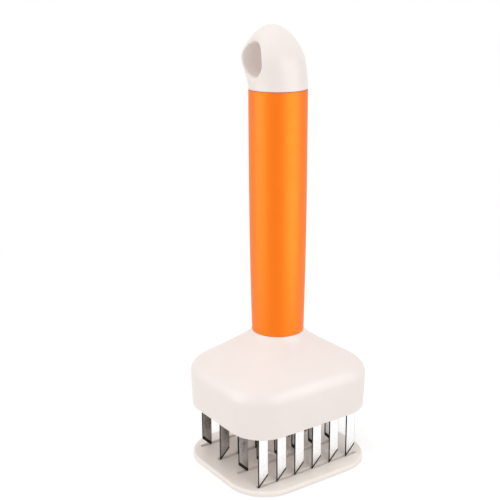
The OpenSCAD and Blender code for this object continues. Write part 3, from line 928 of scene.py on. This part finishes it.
def make_materials():
    return {
        "cover_white": moulded("white_plastic", (0.93, 0.855, 0.815), (0.91, 0.83, 0.785)),
        # The plate's plastic is a lighter, warmer copy of the white: partly its own warmer tone,
        # partly painted light that offsets the shade under the head
        "plate_white": moulded("plate_plastic_lightened", (0.975, 0.9, 0.84), (0.955, 0.875, 0.81)),
        "sleeve_orange": pearly(
            "orange_plastic", (0.95, 0.14, 0.003), (0.94, 0.133, 0.0025), (1.0, 0.5, 0.07)
        ),
        # The blade steel's dark colour is painted shade between the rows
        "blade_steel": rolled_steel("blade_steel", (0.88, 0.88, 0.875), (0.235, 0.205, 0.19)),
        # Painted shade for the blade edges and the band along their tips
        "blade_edge": painted_edge_shade("blade_edge_painted_shade", (0.03, 0.024, 0.022), (0.015, 0.012, 0.012)),
        "clamp_steel": turned_metal("clamp_steel", (0.6, 0.6, 0.6), (0.5, 0.5, 0.51), 0.35),
        "fastener_steel": turned_metal("fastener_steel", (0.62, 0.62, 0.63), (0.5, 0.5, 0.52), 0.28),
        "spring_steel": turned_metal("spring_steel", (0.36, 0.36, 0.38), (0.26, 0.26, 0.28), 0.3),
        "bush_brass": turned_metal("bush_brass", (0.8, 0.6, 0.3), (0.68, 0.48, 0.2), 0.3),
    }


def dress(piece, *materials):
    """Fills a new piece's material slots, which leaves its faces' slot numbers as they are."""
    for material in materials:
        piece.data.materials.append(material)


def dress_node(node, material):
    """Gives a carried-over CAD piece a material through its object's own slots."""
    if not node.material_slots:
        node.data.materials.append(material)
    for place in node.material_slots:
        place.link = "OBJECT"
        place.material = material


# ---- putting the pieces on the frame ----


def stand_in(piece, node, body, slot_name, *materials):
    """A detailed piece in the place of a CAD piece."""
    dress(piece, *materials)
    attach(piece, body)
    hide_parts(node)
    return piece


def place_blades(materials):
    """Rows of blades whose tips point down at their left and their right edges by turns."""
    for r, y in enumerate(SLOT_ROWS, 1):
        for c, x in enumerate(BLADE_COLUMNS, 1):
            strip = blade(f"blade_strip_r{r}_c{c}", -1 if r % 2 else 1, x, y)
            stand_in(strip, f"blade_r{r}_c{c}", "grip", "blade_steel", *materials)


def build_pieces(materials):
    white, orange = materials["cover_white"], materials["sleeve_orange"]
    stand_in(head_cover(), "head_cover", "grip", "cover_white", white)
    stand_in(hanging_cap(), "hanging_cap", "grip", "cover_white", white)
    stand_in(guard_plate(), "guard_plate", "guard", "cover_white", materials["plate_white"])
    stand_in(handle_sleeve(), "handle_sleeve", "grip", "sleeve_orange", orange)
    place_blades((materials["blade_steel"], materials["blade_edge"]))
    spring = stand_in(
        return_spring(), "return_spring", "grip", "spring_steel", materials["spring_steel"]
    )
    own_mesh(spring)


def dress_nodes(nodes, materials):
    for name, finish in NODE_FINISHES.items():
        dress_node(nodes[name], materials[finish])


# ---- stage, light and camera ----


def worked_out(nodes, operation, a, b):
    """What a Math node makes of two values."""
    node = nodes.new("ShaderNodeMath")
    node.operation = operation
    links = node.id_data.links
    links.new(a, node.inputs[0])
    links.new(b, node.inputs[1])
    return node.outputs[0]


def seen(nodes, links, unseen, shown):
    """A strength for rays from the camera, reflections and glass, and one for all others."""
    path = nodes.new("ShaderNodeLightPath").outputs
    direct = worked_out(nodes, "MAXIMUM", path["Is Camera Ray"], path["Is Glossy Ray"])
    any_of_them = worked_out(nodes, "MAXIMUM", direct, path["Is Transmission Ray"])
    strength = set_inputs(nodes.new("ShaderNodeMapRange"), To_Min=unseen, To_Max=shown)
    links.new(any_of_them, strength.inputs["Value"])
    return strength.outputs["Result"]


def near_paper(nodes, links):
    """Pale paper that takes the shadow, lifted to white for the camera."""
    grey = (FLOOR_GREY, FLOOR_GREY, FLOOR_GREY, 1)
    diffuse = set_inputs(nodes.new("ShaderNodeBsdfDiffuse"), Color=grey)
    lift = nodes.new("ShaderNodeEmission")
    links.new(seen(nodes, links, 0.0, FLOOR_LIFT), lift.inputs["Strength"])
    both = nodes.new("ShaderNodeAddShader")
    links.new(diffuse.outputs[0], both.inputs[0])
    links.new(lift.outputs[0], both.inputs[1])
    return both.outputs[0]


def far_share(nodes, links):
    """How far the floor has faded to the backdrop, for rays that may see it."""
    place = nodes.new("ShaderNodeTexCoord")
    distance = nodes.new("ShaderNodeVectorMath")
    distance.operation = "LENGTH"
    links.new(place.outputs["Object"], distance.inputs[0])
    start, end = FLOOR_FADE
    fade = set_inputs(nodes.new("ShaderNodeMapRange"), From_Min=start, From_Max=end)
    fade.interpolation_type = "SMOOTHSTEP"
    links.new(distance.outputs["Value"], fade.inputs["Value"])
    return worked_out(nodes, "MULTIPLY", fade.outputs["Result"], seen(nodes, links, 0.0, 1.0))


def floor_paper():
    """Material that is white to the camera where nothing shades it, near and far."""
    material = bpy.data.materials.new("floor_paper")
    material.use_nodes = True
    nodes, links = material.node_tree.nodes, material.node_tree.links
    nodes.clear()
    mix = nodes.new("ShaderNodeMixShader")
    links.new(far_share(nodes, links), mix.inputs["Fac"])
    links.new(near_paper(nodes, links), mix.inputs[1])
    links.new(nodes.new("ShaderNodeEmission").outputs[0], mix.inputs[2])
    out = nodes.new("ShaderNodeOutputMaterial")
    links.new(mix.outputs[0], out.inputs["Surface"])
    return material


def floor():
    """Flat floor just under the plate, which keeps its shadow."""
    mesh = bpy.data.meshes.new("floor")
    r = FLOOR_HALF
    mesh.from_pydata([(-r, -r, 0), (r, -r, 0), (r, r, 0), (-r, r, 0)], [], [(0, 1, 2, 3)])
    mesh.materials.append(floor_paper())
    plane = bpy.data.objects.new("floor", mesh)
    bpy.context.collection.objects.link(plane)
    plane.location.z = -FLOOR_DROP


def white_world():
    world = bpy.data.worlds.new("studio")
    bpy.context.scene.world = world
    world.use_nodes = True
    nodes, links = world.node_tree.nodes, world.node_tree.links
    background = set_inputs(nodes["Background"], Color=(1, 1, 1, 1))
    links.new(seen(nodes, links, WORLD_LIGHT, 1.0), background.inputs["Strength"])


def soft_box(name, place, target, size, power):
    """Area lamp turned to a target; the gloss lamps show in reflections alone."""
    lamp = bpy.data.lights.new(name, "AREA")
    lamp.shape = "RECTANGLE"
    lamp.size, lamp.size_y = size
    lamp.energy = power
    holder = bpy.data.objects.new(name, lamp)
    bpy.context.collection.objects.link(holder)
    holder.location = place
    holder.visible_camera = False
    holder.visible_diffuse = name not in GLOSS_LAMPS
    aim = Vector(target) - Vector(place)
    holder.rotation_euler = aim.to_track_quat("-Z", "Y").to_euler()


def studio():
    white_world()
    floor()
    for name, settings in LAMPS.items():
        soft_box(name, *settings)


def camera():
    """The photograph's point of view."""
    azimuth, down, roll = (math.radians(a) for a in (CAMERA_AZIMUTH, CAMERA_DOWN, CAMERA_ROLL))
    right = Vector((math.cos(azimuth), math.sin(azimuth), 0))
    forward = Vector((
        -math.sin(azimuth) * math.cos(down), math.cos(azimuth) * math.cos(down), -math.sin(down)
    ))
    up = right.cross(forward)
    turned_right = math.cos(roll) * right + math.sin(roll) * up
    turned_up = math.cos(roll) * up - math.sin(roll) * right
    columns = Matrix((turned_right, turned_up, -forward)).transposed()
    lens = bpy.data.cameras.new("camera")
    lens.sensor_width = CAMERA_SENSOR
    lens.lens = CAMERA_LENS
    lens.clip_start = CAMERA_NEAR * MM
    eye = bpy.data.objects.new("camera", lens)
    bpy.context.collection.objects.link(eye)
    eye.matrix_world = Matrix.Translation(Vector(CAMERA_PLACE) * MM) @ columns.to_4x4()
    bpy.context.scene.camera = eye


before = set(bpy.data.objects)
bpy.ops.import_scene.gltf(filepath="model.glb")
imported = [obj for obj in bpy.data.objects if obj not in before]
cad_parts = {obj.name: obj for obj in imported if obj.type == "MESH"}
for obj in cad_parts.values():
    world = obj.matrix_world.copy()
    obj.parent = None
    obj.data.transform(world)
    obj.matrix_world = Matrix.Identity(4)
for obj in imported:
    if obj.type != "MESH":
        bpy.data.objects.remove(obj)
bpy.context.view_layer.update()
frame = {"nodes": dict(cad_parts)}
bpy.context.scene.view_settings.view_transform = "Standard"
camera()
studio()
finishes = make_materials()
build_pieces(finishes)
dress_nodes(frame["nodes"], finishes)
